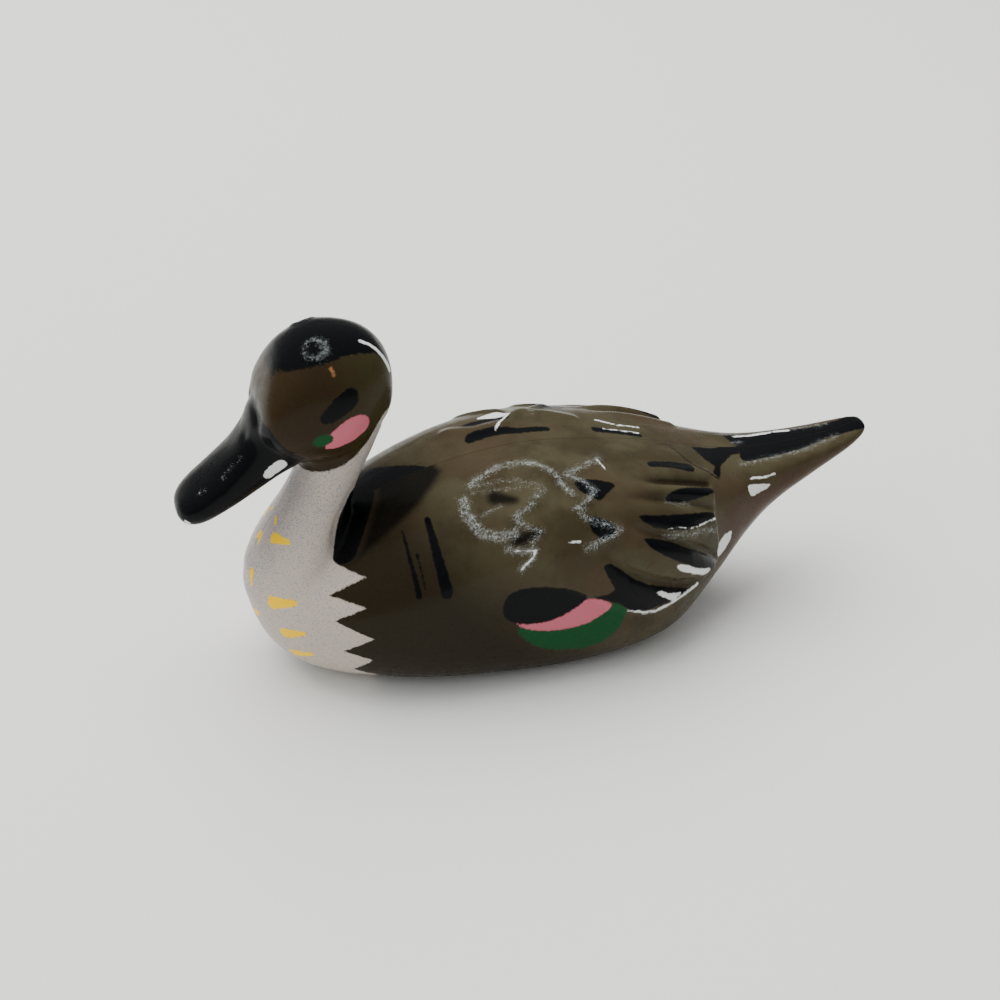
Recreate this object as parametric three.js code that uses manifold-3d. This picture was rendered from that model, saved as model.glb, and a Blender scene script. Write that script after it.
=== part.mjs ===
// A miniature floating duck decoy, moulded in two half shells that are cemented together on the duck's centre plane.
// A ballast bar is screwed to the right half, low in the belly. A pin across a pocket under the breast takes the anchor
// line. Millimetres: +X points to the bill, +Y to the duck's left, +Z up. The origin is on the flat base, mid-length.
import * as THREE from "three";
import { mergeVertices } from "three/addons/utils/BufferGeometryUtils.js";
import Module from "manifold-3d";

// ---- Driving dimensions ----
const WALL = 1.6; // moulded wall
const FLOOR = 2.0; // wall over the flat base
const SEAM_GAP = 0.1; // between the rims of the two halves
const FIT = 0.15; // clearance round a peg, pin or screw
const TAIL_SOLID_X = -41; // the tail is solid behind here

const SHELL_DETAIL = { around: 28, steps: 2 }; // facets round a section, rings between stations
const CAVITY_DETAIL = { around: 20, steps: 1 };
const ROUND_SIDES = 16; // facets round a pin, peg or screw

const HEAD_CENTRE = { x: 35.4, z: 50.2 };
const BILL_ROOT = { x: 41.6, z: 45.4 }; // the bill's own origin, inside the face
const BILL_PITCH = 36.6; // degrees below level

const PEG = { radius: 1.2, reach: 3, boss: 2.6, bossDepth: 4.6 };
const PEG_PLACES = [
  { x: 47.0, z: 14.0 }, // breast
  { x: 35.0, z: 57.4 }, // crown
  { x: 2.0, z: 31.4 }, // back
  { x: -26.0, z: 7.2 }, // keel
  { x: -46.0, z: 24.0 }, // tail
];

const BALLAST = { length: 40, width: 9, height: 5.4, x: -1, z: 5.6, edge: 0.8 };
const SCREW = { radius: 1.0, headRadius: 2.2, headHeight: 1.4, length: 15, slotWidth: 0.6, slotDepth: 0.6 };
const SCREW_PLACES = { front: BALLAST.x + 13, rear: BALLAST.x - 13 };
const BALLAST_BOSS_RADIUS = 3.0;

const POCKET = { x: 30, length: 13, width: 7, depth: 7, cheek: 2.6 };
const LINE_PIN = { radius: 0.9, length: 10.8, z: 3.4 };

// ---- Stations ----
// Each row is one section: place along the loft, top, bottom, half breadth, height of the widest line, and how square
// the section is above and below that line. Two is an ellipse.
const HULL = [
  [51.0, 16.0, 16.0, 0, 16.0, 2.2, 2.2],
  [50.2, 20.4, 11.0, 4.6, 15.6, 2.2, 2.2],
  [47.8, 22.6, 5.6, 9.2, 15.0, 2.2, 2.2],
  [43.4, 23.6, 1.6, 13.4, 14.4, 2.2, 2.2],
  [38.0, 25.0, -0.2, 16.4, 13.8, 2.1, 2.3],
  [32.0, 28.2, -0.8, 18.8, 13.6, 2.2, 2.4],
  [24.0, 31.6, -1.4, 20.9, 13.6, 2.5, 2.6],
  [13.0, 34.2, -2.0, 22.1, 13.8, 3.1, 2.8],
  [2.0, 35.1, -2.4, 22.4, 14.4, 3.2, 3.0],
  [-10.0, 33.7, -2.0, 21.8, 15.0, 3.1, 3.0],
  [-20.0, 31.7, 0.0, 18.9, 16.0, 3.1, 3.0],
  [-29.0, 29.0, 5.6, 13.4, 18.6, 3.1, 2.7],
  [-36.0, 27.6, 11.4, 9.2, 21.8, 3.1, 2.4],
  [-42.0, 27.3, 16.2, 6.8, 24.0, 3.1, 2.2],
  [-50.0, 27.7, 21.0, 5.2, 25.8, 3.0, 2.0],
  [-56.0, 28.6, 24.8, 4.0, 27.2, 2.8, 2.0],
  [-59.6, 29.5, 27.3, 2.4, 28.5, 2.4, 2.0],
  [-60.5, 28.8, 28.8, 0, 28.8, 2.2, 2.0],
];
// The neck stands upright, so its stations run up from inside the breast, and their top and bottom are front and back.
const NECK = [
  [8.0, 42.0, 42.0, 0, 42.0, 2, 2],
  [10.0, 47.0, 36.0, 7.0, 41.0, 2, 2],
  [14.0, 50.9, 34.6, 11.2, 42.0, 2, 2],
  [18.0, 50.6, 34.2, 11.6, 42.0, 2, 2],
  [22.0, 49.2, 33.8, 10.8, 41.5, 2, 2],
  [26.5, 46.5, 33.2, 9.0, 40.0, 2, 2],
  [31.0, 43.6, 32.1, 7.4, 38.0, 2, 2],
  [36.0, 41.1, 30.2, 6.6, 35.8, 2, 2],
  [41.0, 40.2, 27.8, 6.8, 34.0, 2, 2],
  [46.0, 40.0, 26.6, 7.0, 33.0, 2, 2],
  [50.0, 33.0, 33.0, 0, 33.0, 2, 2],
];
// Head and bill stations are measured from HEAD_CENTRE and BILL_ROOT.
const HEAD = [
  [11.2, -2.0, -2.0, 0, -2.0, 2.2, 2.2],
  [10.4, 1.8, -6.0, 7.0, -1.6, 2.2, 2.2],
  [7.0, 7.7, -9.6, 9.4, -0.8, 2.2, 2.2],
  [2.0, 10.9, -11.4, 9.9, 0, 2.2, 2.2],
  [-3.0, 10.8, -10.4, 9.4, 0, 2.2, 2.2],
  [-7.2, 9.0, -7.0, 7.6, 0.6, 2.2, 2.2],
  [-9.8, 5.8, -3.8, 4.8, 1.2, 2.2, 2.2],
  [-10.8, 1.6, 1.6, 0, 1.6, 2.2, 2.2],
];
const BILL = [
  [23.4, 0, 0, 0, 0, 2.4, 2.4],
  [22.6, 1.5, -1.5, 4.0, 0, 2.4, 2.4],
  [20.0, 2.1, -2.4, 5.8, 0, 2.4, 2.4],
  [15.0, 2.3, -2.9, 6.2, 0, 2.4, 2.4],
  [10.0, 2.9, -3.4, 5.8, 0, 2.4, 2.4],
  [6.0, 4.2, -4.4, 5.9, 0, 2.4, 2.4],
  [2.0, 6.0, -5.4, 6.6, 0, 2.4, 2.4],
  [-2.0, 4.0, -4.4, 5.0, 0, 2.4, 2.4],
  [-3.4, 0, 0, 0, 0, 2.4, 2.4],
];

// ---- Helpers ----
const wasm = await Module();
wasm.setup();

function solidFrom(geometry) {
  geometry.deleteAttribute("normal");
  geometry.deleteAttribute("uv");
  const merged = mergeVertices(geometry, 1e-4);
  const mesh = new wasm.Mesh({
    numProp: 3,
    vertProperties: new Float32Array(merged.attributes.position.array),
    triVerts: new Uint32Array(merged.index.array),
  });
  return new wasm.Manifold(mesh);
}

function geometryFrom(solid) {
  const mesh = solid.getMesh();
  const geometry = new THREE.BufferGeometry();
  geometry.setAttribute("position", new THREE.BufferAttribute(new Float32Array(mesh.vertProperties), 3));
  geometry.setIndex(new THREE.BufferAttribute(new Uint32Array(mesh.triVerts), 1));
  return geometry;
}

const signedPower = (value, power) => Math.sign(value) * Math.abs(value) ** power;

// A closed loft along X, made by moving a sphere's rings onto the sections. The inset shrinks it for the cavity.
function loft(rows, detail, inset = 0) {
  const places = rows.map((row, index) => index);
  const sections = new THREE.CubicInterpolant(places, rows.flat(), rows[0].length);
  const rings = (rows.length - 1) * detail.steps;
  const geometry = new THREE.SphereGeometry(1, detail.around, rings);
  const position = geometry.attributes.position;
  const firstX = rows[0][0];
  const lastX = rows[rows.length - 1][0];
  const middle = (firstX + lastX) / 2;
  const shrink = 1 - (2 * inset) / Math.abs(firstX - lastX);
  for (let i = 0; i < position.count; i++) {
    const ring = Math.floor(i / (detail.around + 1));
    const angle = ((i % (detail.around + 1)) / detail.around) * 2 * Math.PI;
    const [place, top, bottom, half, waist, squareAbove, squareBelow] = sections.evaluate(ring / detail.steps);
    const above = Math.cos(angle) < 0;
    const power = 2 / (above ? squareAbove : squareBelow);
    const height = Math.max(0.01, (above ? top - waist : waist - bottom) - inset);
    const breadth = Math.max(0.01, half - inset);
    const open = ring === 0 || ring === rings ? 0 : 1;
    const x = middle + (place - middle) * shrink;
    const y = open * breadth * signedPower(Math.sin(angle), power);
    const z = waist - open * height * signedPower(Math.cos(angle), power);
    position.setXYZ(i, x, y, z);
  }
  return solidFrom(geometry);
}

function box(lengthX, widthY, heightZ, x, y, z) {
  return solidFrom(new THREE.BoxGeometry(lengthX, widthY, heightZ).translate(x, y, z));
}

// A cylinder along Y, from one y to the other.
function rod(radius, fromY, toY, x, z) {
  const cylinder = new THREE.CylinderGeometry(radius, radius, toY - fromY, ROUND_SIDES);
  return solidFrom(cylinder.translate(x, (fromY + toY) / 2, z));
}

// ---- The duck's form, and its cavity when inset by the wall ----
function bodyForm(detail, inset) {
  const uprightRows = NECK.map(([height, ...section]) => [-height, ...section]);
  const hull = loft(HULL, detail, inset);
  const neck = loft(uprightRows, detail, inset).rotate([0, 90, 0]);
  const head = loft(HEAD, detail, inset).translate([HEAD_CENTRE.x, 0, HEAD_CENTRE.z]);
  return hull.add(neck).add(head);
}

function outsideForm() {
  const bill = loft(BILL, SHELL_DETAIL).rotate([0, BILL_PITCH, 0]).translate([BILL_ROOT.x, 0, BILL_ROOT.z]);
  const belowBase = box(200, 100, 20, 0, 0, -10);
  return bodyForm(SHELL_DETAIL, 0).add(bill).subtract(belowBase);
}

function cavityForm() {
  const underFloor = box(200, 100, 20, 0, 0, FLOOR - 10);
  const inTail = box(100, 100, 100, TAIL_SOLID_X - 50, 0, 30);
  return bodyForm(CAVITY_DETAIL, WALL).subtract(underFloor).subtract(inTail);
}

// ---- Half shells ----
// A side is 1 for the left half and -1 for the right half.
function halfSpace(side) {
  return box(200, 50, 100, 0, side * (25 + SEAM_GAP / 2), 40);
}

function pegBosses() {
  return PEG_PLACES.map(({ x, z }) => rod(PEG.boss, -PEG.bossDepth, PEG.bossDepth, x, z));
}

function ballastBosses() {
  const inner = -BALLAST.width / 2 - FIT;
  return Object.values(SCREW_PLACES).map((x) => rod(BALLAST_BOSS_RADIUS, -22, inner, x, BALLAST.z));
}

function pocketHousing() {
  const height = POCKET.depth + WALL;
  return box(POCKET.length + 2 * WALL, POCKET.width + 2 * POCKET.cheek, height, POCKET.x, 0, height / 2);
}

function shell(side, form, cavity) {
  const fittings = [...pegBosses(), pocketHousing(), ...(side < 0 ? ballastBosses() : [])];
  let solid = form.subtract(cavity);
  for (const fitting of fittings) solid = solid.add(fitting.intersect(form));
  const pinSeat = LINE_PIN.length / 2 + FIT;
  solid = solid
    .subtract(box(POCKET.length, POCKET.width, 2 * POCKET.depth, POCKET.x, 0, 0))
    .subtract(rod(LINE_PIN.radius + FIT, -pinSeat, pinSeat, POCKET.x, LINE_PIN.z))
    .intersect(halfSpace(side));
  return side > 0 ? withPegHoles(solid) : withScrewHoles(withPegs(solid));
}

function withPegHoles(solid) {
  const holes = PEG_PLACES.map(({ x, z }) => rod(PEG.radius + FIT, -1, PEG.reach + 2 * FIT, x, z));
  return holes.reduce((rest, hole) => rest.subtract(hole), solid);
}

function withPegs(solid) {
  const pegs = PEG_PLACES.map(({ x, z }) => rod(PEG.radius, -PEG.reach, PEG.reach, x, z));
  return pegs.reduce((rest, peg) => rest.add(peg), solid);
}

function withScrewHoles(solid) {
  const end = BALLAST.width / 2 - SCREW.length - FIT;
  const holes = Object.values(SCREW_PLACES).map((x) => rod(SCREW.radius + FIT, end, 0, x, BALLAST.z));
  return holes.reduce((rest, hole) => rest.subtract(hole), solid);
}

// ---- Ballast bar, its two screws, and the anchor-line pin ----
function ballastBar() {
  const right = BALLAST.width / 2;
  const top = BALLAST.height / 2;
  const corners = [
    [-right + BALLAST.edge, -top],
    [right - BALLAST.edge, -top],
    [right, -top + BALLAST.edge],
    [right, top - BALLAST.edge],
    [right - BALLAST.edge, top],
    [-right + BALLAST.edge, top],
    [-right, top - BALLAST.edge],
    [-right, -top + BALLAST.edge],
  ];
  const outline = new THREE.Shape(corners.map(([across, up]) => new THREE.Vector2(across, up)));
  const bar = new THREE.ExtrudeGeometry(outline, { depth: BALLAST.length, bevelEnabled: false });
  bar.rotateX(Math.PI / 2).rotateZ(Math.PI / 2);
  bar.translate(BALLAST.x - BALLAST.length / 2, 0, BALLAST.z);
  const holes = Object.values(SCREW_PLACES).map((x) => rod(SCREW.radius + FIT, -2 * right, 2 * right, x, BALLAST.z));
  return holes.reduce((rest, hole) => rest.subtract(hole), solidFrom(bar));
}

function ballastScrew(x) {
  const seat = BALLAST.width / 2;
  const top = seat + SCREW.headHeight;
  const shank = rod(SCREW.radius, seat - SCREW.length, seat + SCREW.headHeight / 2, x, BALLAST.z);
  const head = rod(SCREW.headRadius, seat, top, x, BALLAST.z);
  const slot = box(3 * SCREW.headRadius, 2 * SCREW.slotDepth, SCREW.slotWidth, x, top, BALLAST.z);
  return shank.add(head).subtract(slot);
}

function linePin() {
  return rod(LINE_PIN.radius, -LINE_PIN.length / 2, LINE_PIN.length / 2, POCKET.x, LINE_PIN.z);
}

// ---- Assembly ----
const decoy = new THREE.Group();

function addPart(name, solid, color, metalness) {
  const material = new THREE.MeshStandardMaterial({ color, metalness, roughness: 0.4 });
  const mesh = new THREE.Mesh(geometryFrom(solid), material);
  mesh.name = name;
  decoy.add(mesh);
}

const form = outsideForm();
const cavity = cavityForm();
addPart("left_shell", shell(1, form, cavity), 0x4b4638, 0);
addPart("right_shell", shell(-1, form, cavity), 0x4b4638, 0);
addPart("ballast_bar", ballastBar(), 0x8d9094, 1);
addPart("ballast_screw_front", ballastScrew(SCREW_PLACES.front), 0xb8b8b4, 1);
addPart("ballast_screw_rear", ballastScrew(SCREW_PLACES.rear), 0xb8b8b4, 1);
addPart("line_pin", linePin(), 0xb5903c, 1);

export default decoy;
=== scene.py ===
# %% [markdown]
# # A small floating duck decoy, painted by hand
# The real thing is a pintail drake about twelve centimetres long: two moulded half shells cemented on the
# duck's middle plane, with a ballast bar inside and a pin under the breast for a line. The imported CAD
# model gives every size. Here the two shells are modelled again, smooth and with their feathers, and
# painted in lacquer.

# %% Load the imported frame
import math
import bmesh
import bpy
import numpy as np
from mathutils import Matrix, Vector
from mathutils.bvhtree import BVHTree


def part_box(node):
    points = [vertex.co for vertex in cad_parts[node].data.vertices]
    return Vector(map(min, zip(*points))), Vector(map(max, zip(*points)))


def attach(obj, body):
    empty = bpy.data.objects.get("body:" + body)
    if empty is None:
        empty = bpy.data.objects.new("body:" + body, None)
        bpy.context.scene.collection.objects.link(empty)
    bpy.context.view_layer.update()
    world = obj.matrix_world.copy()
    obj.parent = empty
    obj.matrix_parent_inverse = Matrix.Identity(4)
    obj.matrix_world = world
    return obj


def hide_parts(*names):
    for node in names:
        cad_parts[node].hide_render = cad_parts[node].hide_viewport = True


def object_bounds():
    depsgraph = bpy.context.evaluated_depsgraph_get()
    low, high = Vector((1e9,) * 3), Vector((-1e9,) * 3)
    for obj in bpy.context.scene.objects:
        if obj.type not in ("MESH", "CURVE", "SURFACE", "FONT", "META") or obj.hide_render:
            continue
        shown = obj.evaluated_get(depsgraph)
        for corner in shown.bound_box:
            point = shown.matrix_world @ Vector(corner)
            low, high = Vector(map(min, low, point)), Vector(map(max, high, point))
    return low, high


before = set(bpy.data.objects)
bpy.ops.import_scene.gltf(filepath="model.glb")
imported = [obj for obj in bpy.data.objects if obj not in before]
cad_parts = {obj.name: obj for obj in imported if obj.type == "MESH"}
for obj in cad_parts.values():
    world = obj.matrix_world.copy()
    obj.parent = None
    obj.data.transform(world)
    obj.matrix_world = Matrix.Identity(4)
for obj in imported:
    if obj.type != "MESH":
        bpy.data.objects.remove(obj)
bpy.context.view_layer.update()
MM = 0.001
low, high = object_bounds()
print("CAD box in mm:", [round(side / MM, 1) for side in high - low])

# %% [markdown]
# ## Camera, floor and light
# The camera comes first, so that each trial picture can be judged. It looks down on the duck's left side
# with a lens of moderate length. A photographer's sweep would do for a floor, but the view only ever sees
# flat floor, so one large pale sheet is enough. Two big soft lamps stand in for a lit room: a wide one
# above, a weaker one in front.

# %% Camera
AZIMUTH = math.radians(164)
ELEVATION = math.radians(33)
DISTANCE = 269 * MM
VIEW_ANGLE = math.radians(35)
FILM = 36
AIM = Vector((6.8, 0, 24.2)) * MM
towards_camera = Vector((
    math.sin(AZIMUTH) * math.cos(ELEVATION),
    -math.cos(AZIMUTH) * math.cos(ELEVATION),
    math.sin(ELEVATION),
))
bpy.ops.object.camera_add(location=AIM + towards_camera * DISTANCE)
camera = bpy.context.object
camera.rotation_euler = towards_camera.to_track_quat("Z", "Y").to_euler()
camera.data.sensor_width = FILM
camera.data.lens = FILM / 2 / math.tan(VIEW_ANGLE / 2)
camera.data.clip_start = DISTANCE / 20
bpy.context.scene.camera = camera
print("lens in mm:", round(camera.data.lens, 1))


# %% Small helpers for materials
def colour(code):
    """A linear colour from an sRGB hex value."""
    parts = [int(code[start:start + 2], 16) / 255 for start in (1, 3, 5)]
    linear = [part / 12.92 if part <= 0.04045 else ((part + 0.055) / 1.055) ** 2.4 for part in parts]
    return (*linear, 1)


def new_material(name):
    """A new material, its node tree and its surface shader."""
    material = bpy.data.materials.new(name)
    material.use_nodes = True
    return material, material.node_tree, material.node_tree.nodes["Principled BSDF"]


def node(tree, kind, inputs=None, **settings):
    """Add a node with its settings. An input that is given a socket is linked; any other value is set."""
    added = tree.nodes.new(kind)
    for name, value in settings.items():
        setattr(added, name, value)
    for name, value in (inputs or {}).items():
        if isinstance(value, bpy.types.NodeSocket):
            tree.links.new(value, added.inputs[name])
        else:
            added.inputs[name].default_value = value
    return added


print("black in linear light:", colour("#000000"), "white:", colour("#ffffff"))


# %% Floor and lamps
FLOOR_SIZE = 6
bpy.ops.mesh.primitive_plane_add(size=FLOOR_SIZE, location=(0, 0, 0))
floor = bpy.context.object
floor.name = "floor"
floor_material, floor_tree, floor_shader = new_material("matt_white_card")
floor_shader.inputs["Base Color"].default_value = colour("#f6f6f2")
floor_shader.inputs["Roughness"].default_value = 0.9
floor.data.materials.append(floor_material)


def soft_lamp(name, place, size, power, tint):
    """A square soft lamp aimed at the duck. The gloss doesn't mirror it, as that would draw a hard patch."""
    bpy.ops.object.light_add(type="AREA", location=place)
    lamp = bpy.context.object
    lamp.name = name
    lamp.data.size = size
    lamp.data.energy = power
    lamp.data.color = tint
    lamp.rotation_euler = (Vector(place) - AIM).to_track_quat("Z", "Y").to_euler()
    lamp.visible_glossy = False
    print(name, "gives", power, "W from", round((Vector(place) - AIM).length, 2), "m")


soft_lamp("ceiling_lamp", (0.15, -0.35, 1.0), 1.3, 20, (1, 1, 0.98))
soft_lamp("window_lamp", (1.0, 0.35, 0.75), 0.8, 4.0, (0.98, 1, 0.99))

# %% Room light: bright overhead, dim towards the walls
WALL_LIGHT = 0.32
CEILING_LIGHT = 0.75
CEILING_STARTS = 0.15  # how far up, from 0 at eye level to 1 overhead
world = bpy.data.worlds.new("room_light")
bpy.context.scene.world = world
world.use_nodes = True
sky = world.node_tree
direction = node(sky, "ShaderNodeTexCoord").outputs["Generated"]
height = node(sky, "ShaderNodeSeparateXYZ", {"Vector": direction}).outputs["Z"]
gradient = node(sky, "ShaderNodeMapRange", {
    "Value": height, "From Min": CEILING_STARTS, "From Max": 1, "To Min": WALL_LIGHT, "To Max": CEILING_LIGHT,
}, interpolation_type="SMOOTHSTEP")
sky.links.new(gradient.outputs["Result"], sky.nodes["Background"].inputs["Strength"])
sky.nodes["Background"].inputs["Color"].default_value = colour("#f4f5f6")
print("room light runs from", WALL_LIGHT, "to", CEILING_LIGHT)

# %% [markdown]
# ## The duck's form
# A mould maker carves the duck as one rounded body. It could be sculpted, or pushed out of a box. A boat
# builder's way is surer: sections at stations, and a skin through them. Body, neck, head and bill are
# four such skins. Each starts as one ring that is extruded from section to section. A voxel remesh then
# melts them into one surface.

# %% Helpers for modelling
RING = 48  # points round a section
STEPS = 4  # sections from one station to the next


def only(piece):
    """Select one piece and nothing else."""
    bpy.ops.object.select_all(action="DESELECT")
    piece.select_set(True)
    bpy.context.view_layer.objects.active = piece


def finish_with(piece, kind, **settings):
    """Add a modifier to a piece and apply it."""
    only(piece)
    modifier = piece.modifiers.new(kind.lower(), kind)
    for name, value in settings.items():
        setattr(modifier, name, value)
    bpy.ops.object.modifier_apply(modifier=modifier.name)


def join(name, pieces):
    """Make one object out of several."""
    only(pieces[0])
    for piece in pieces[1:]:
        piece.select_set(True)
    bpy.ops.object.join()
    pieces[0].name = name
    return pieces[0]


def carve(piece, cutter, operation):
    """Cut away, add or keep what a second closed piece covers, and throw the second piece away."""
    finish_with(piece, "BOOLEAN", object=cutter, operation=operation, solver="MANIFOLD")
    bpy.data.objects.remove(cutter)


def duplicate(piece, name):
    """A copy with its own mesh."""
    only(piece)
    bpy.ops.object.duplicate()
    copy = bpy.context.object
    copy.name = name
    return copy


# %% Plain tools to cut with, in millimetres
def rod(radius, start, end, x, z, sides=48):
    """A bar across the duck, from one breadth to another."""
    bpy.ops.object.select_all(action="DESELECT")
    place = (x * MM, (start + end) / 2 * MM, z * MM)
    bpy.ops.mesh.primitive_cylinder_add(
        vertices=sides, radius=radius * MM, depth=(end - start) * MM,
        location=place, rotation=(math.pi / 2, 0, 0),
    )
    bpy.ops.object.transform_apply()
    return bpy.context.object


def block(length, width, height, x, y, z, soft=0):
    """A box, with its upright corners rounded where asked."""
    bpy.ops.object.select_all(action="DESELECT")
    bpy.ops.mesh.primitive_cube_add(size=1, location=(x * MM, y * MM, z * MM))
    piece = bpy.context.object
    piece.scale = (length * MM, width * MM, height * MM)
    bpy.ops.object.transform_apply()
    if soft:
        finish_with(piece, "BEVEL", width=soft * MM, segments=4, limit_method="ANGLE")
    return piece


# %% Sections between the stations
def between(rows, steps=STEPS):
    """Every section's numbers: a smooth curve through the same number of each station."""
    rows = np.array(rows, float)
    ends = np.vstack([2 * rows[0] - rows[1], rows, 2 * rows[-1] - rows[-2]])
    sections = []
    for start in range(len(rows) - 1):
        a, b, c, d = ends[start:start + 4]
        for step in range(steps):
            t = step / steps
            bend = (2 * a - 5 * b + 4 * c - d) * t ** 2 + (3 * b - 3 * c + d - a) * t ** 3
            sections.append((2 * b + (c - a) * t + bend) / 2)
    return sections + [rows[-1]]


def section_points(section, inset, closed):
    """Points round one section: across the duck and up from its own axis."""
    place, top, bottom, half, waist, square_above, square_below = section
    angle = np.linspace(0, 2 * math.pi, RING, endpoint=False)
    upward = np.cos(angle) > 0
    power = 2 / np.where(upward, square_above, square_below)
    height = np.maximum(0.01, np.where(upward, top - waist, waist - bottom) - inset)
    size = 0.001 if closed else 1
    across = size * max(0.01, half - inset) * np.sign(np.sin(angle)) * abs(np.sin(angle)) ** power
    up = waist + size * height * np.sign(np.cos(angle)) * abs(np.cos(angle)) ** power
    return across, up


def skin(name, rows, lay, inset=0):
    """Extrude one ring through all the sections. The given lay puts a section's points in space."""
    bpy.ops.object.select_all(action="DESELECT")
    bpy.ops.mesh.primitive_circle_add(vertices=RING, radius=MM, fill_type="NGON")
    piece = bpy.context.object
    piece.name = name
    sections = between(rows)
    middle = (rows[0][0] + rows[-1][0]) / 2
    shrink = 1 - 2 * inset / abs(rows[0][0] - rows[-1][0])
    bpy.ops.object.mode_set(mode="EDIT")
    for number, section in enumerate(sections):
        if number:
            bpy.ops.mesh.extrude_region_move()
        across, up = section_points(section, inset, number in (0, len(sections) - 1))
        along = middle + (section[0] - middle) * shrink
        mesh = bmesh.from_edit_mesh(piece.data)
        end = next(face for face in mesh.faces if face.select)
        for corner, side, height in zip(end.verts, across, up):
            corner.co = Vector(lay(along, side, height)) * MM
        bmesh.update_edit_mesh(piece.data)
    bpy.ops.mesh.select_all(action="SELECT")
    bpy.ops.mesh.remove_doubles(threshold=0.03 * MM)
    bpy.ops.mesh.normals_make_consistent(inside=False)
    bpy.ops.object.mode_set(mode="OBJECT")
    return piece


# %% [markdown]
# ### Stations
# Each row is one section: its place, top, bottom, half breadth, the height of its widest line, and how
# square it is above and below that line. Two is an ellipse. The body's rows run from breast to tail. The
# neck stands upright, so its rows run up from inside the breast, and its top and bottom are its front and
# back.

# %% Stations in millimetres
HULL = [
    [51.0, 16.0, 16.0, 0, 16.0, 2.2, 2.2],
    [50.2, 20.4, 11.0, 4.6, 15.6, 2.2, 2.2],
    [47.8, 22.6, 5.6, 9.2, 15.0, 2.2, 2.2],
    [43.4, 23.6, 1.6, 13.4, 14.4, 2.2, 2.2],
    [38.0, 25.0, -0.2, 16.4, 13.8, 2.1, 2.3],
    [32.0, 28.2, -0.8, 18.8, 13.6, 2.2, 2.4],
    [24.0, 31.6, -1.4, 20.9, 13.6, 2.5, 2.6],
    [13.0, 34.2, -2.0, 21.8, 13.8, 3.1, 2.8],
    [2.0, 35.1, -2.4, 22.0, 14.4, 3.2, 3.0],
    [-10.0, 33.7, -2.0, 21.4, 15.0, 3.1, 3.0],
    [-20.0, 31.7, 0.0, 18.9, 16.0, 3.1, 3.0],
    [-29.0, 29.0, 5.6, 13.4, 18.6, 3.1, 2.7],
    [-36.0, 27.6, 11.4, 9.2, 21.8, 3.1, 2.4],
    [-42.0, 27.3, 16.2, 6.8, 24.0, 3.1, 2.2],
    [-50.0, 27.7, 21.0, 5.2, 25.8, 3.0, 2.0],
    [-56.0, 28.6, 24.8, 4.0, 27.2, 2.8, 2.0],
    [-59.6, 29.5, 27.3, 2.4, 28.5, 2.4, 2.0],
    [-60.5, 28.8, 28.8, 0, 28.8, 2.2, 2.0],
]
NECK = [
    [8.0, 42.0, 42.0, 0, 42.0, 2, 2],
    [10.0, 47.0, 36.0, 7.0, 41.0, 2, 2],
    [14.0, 50.9, 34.6, 11.2, 42.0, 2, 2],
    [18.0, 50.6, 34.2, 11.6, 42.0, 2, 2],
    [22.0, 49.2, 33.8, 10.8, 41.5, 2, 2],
    [26.5, 46.5, 33.2, 9.0, 40.0, 2, 2],
    [31.0, 43.6, 32.1, 7.4, 38.0, 2, 2],
    [36.0, 41.1, 30.2, 6.6, 35.8, 2, 2],
    [41.0, 40.2, 27.8, 6.8, 34.0, 2, 2],
    [46.0, 40.0, 26.6, 7.0, 33.0, 2, 2],
    [50.0, 33.0, 33.0, 0, 33.0, 2, 2],
]
HEAD_CENTRE = (35.4, 50.2)
HEAD = [
    [11.2, -2.0, -2.0, 0, -2.0, 2.2, 2.2],
    [10.4, 1.8, -6.0, 8.0, -1.6, 2.4, 2.3],
    [7.0, 7.7, -9.6, 9.8, -0.8, 2.3, 2.2],
    [2.0, 10.9, -11.4, 9.9, 0, 2.2, 2.2],
    [-3.0, 10.8, -10.4, 9.4, 0, 2.2, 2.2],
    [-7.2, 9.0, -7.0, 7.6, 0.6, 2.2, 2.2],
    [-9.8, 5.8, -3.8, 4.8, 1.2, 2.2, 2.2],
    [-10.8, 1.6, 1.6, 0, 1.6, 2.2, 2.2],
]
BILL_ROOT = (41.6, 45.4)
BILL_PITCH = math.radians(36.6)
BILL = [
    [23.4, 0, 0, 0, 0, 2.4, 2.4],
    [22.6, 1.5, -1.5, 4.0, 0, 2.4, 2.4],
    [20.0, 2.1, -3.0, 5.9, 0, 2.4, 2.4],
    [15.0, 2.3, -4.1, 6.4, 0, 2.4, 2.4],
    [10.0, 2.9, -4.8, 6.3, 0, 2.4, 2.4],
    [6.0, 4.2, -5.3, 6.3, 0, 2.4, 2.4],
    [2.0, 6.0, -5.8, 6.8, 0, 2.4, 2.4],
    [-2.0, 4.0, -4.4, 5.0, 0, 2.4, 2.4],
    [-3.4, 0, 0, 0, 0, 2.4, 2.4],
]


# %% One solid duck, and the hollow inside it
def lay_body(along, across, up):
    return along, across, up


def lay_neck(along, across, up):
    return up, across, along


def lay_head(along, across, up):
    return HEAD_CENTRE[0] + along, across, HEAD_CENTRE[1] + up


def lay_bill(along, across, up):
    """The bill's own axis slopes down and forward."""
    forward = BILL_ROOT[0] + along * math.cos(BILL_PITCH) + up * math.sin(BILL_PITCH)
    return forward, across, BILL_ROOT[1] - along * math.sin(BILL_PITCH) + up * math.cos(BILL_PITCH)


def trunk(name, inset):
    """Body, neck and head as three overlapping skins."""
    return [
        skin(name + "_hull", HULL, lay_body, inset),
        skin(name + "_neck", NECK, lay_neck, inset),
        skin(name + "_head", HEAD, lay_head, inset),
    ]


def melt(piece, voxel, rounds):
    """Fuse overlapping skins into one surface and smooth the joins."""
    finish_with(piece, "REMESH", mode="VOXEL", voxel_size=voxel * MM)
    finish_with(piece, "SMOOTH", factor=0.5, iterations=rounds)


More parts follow.
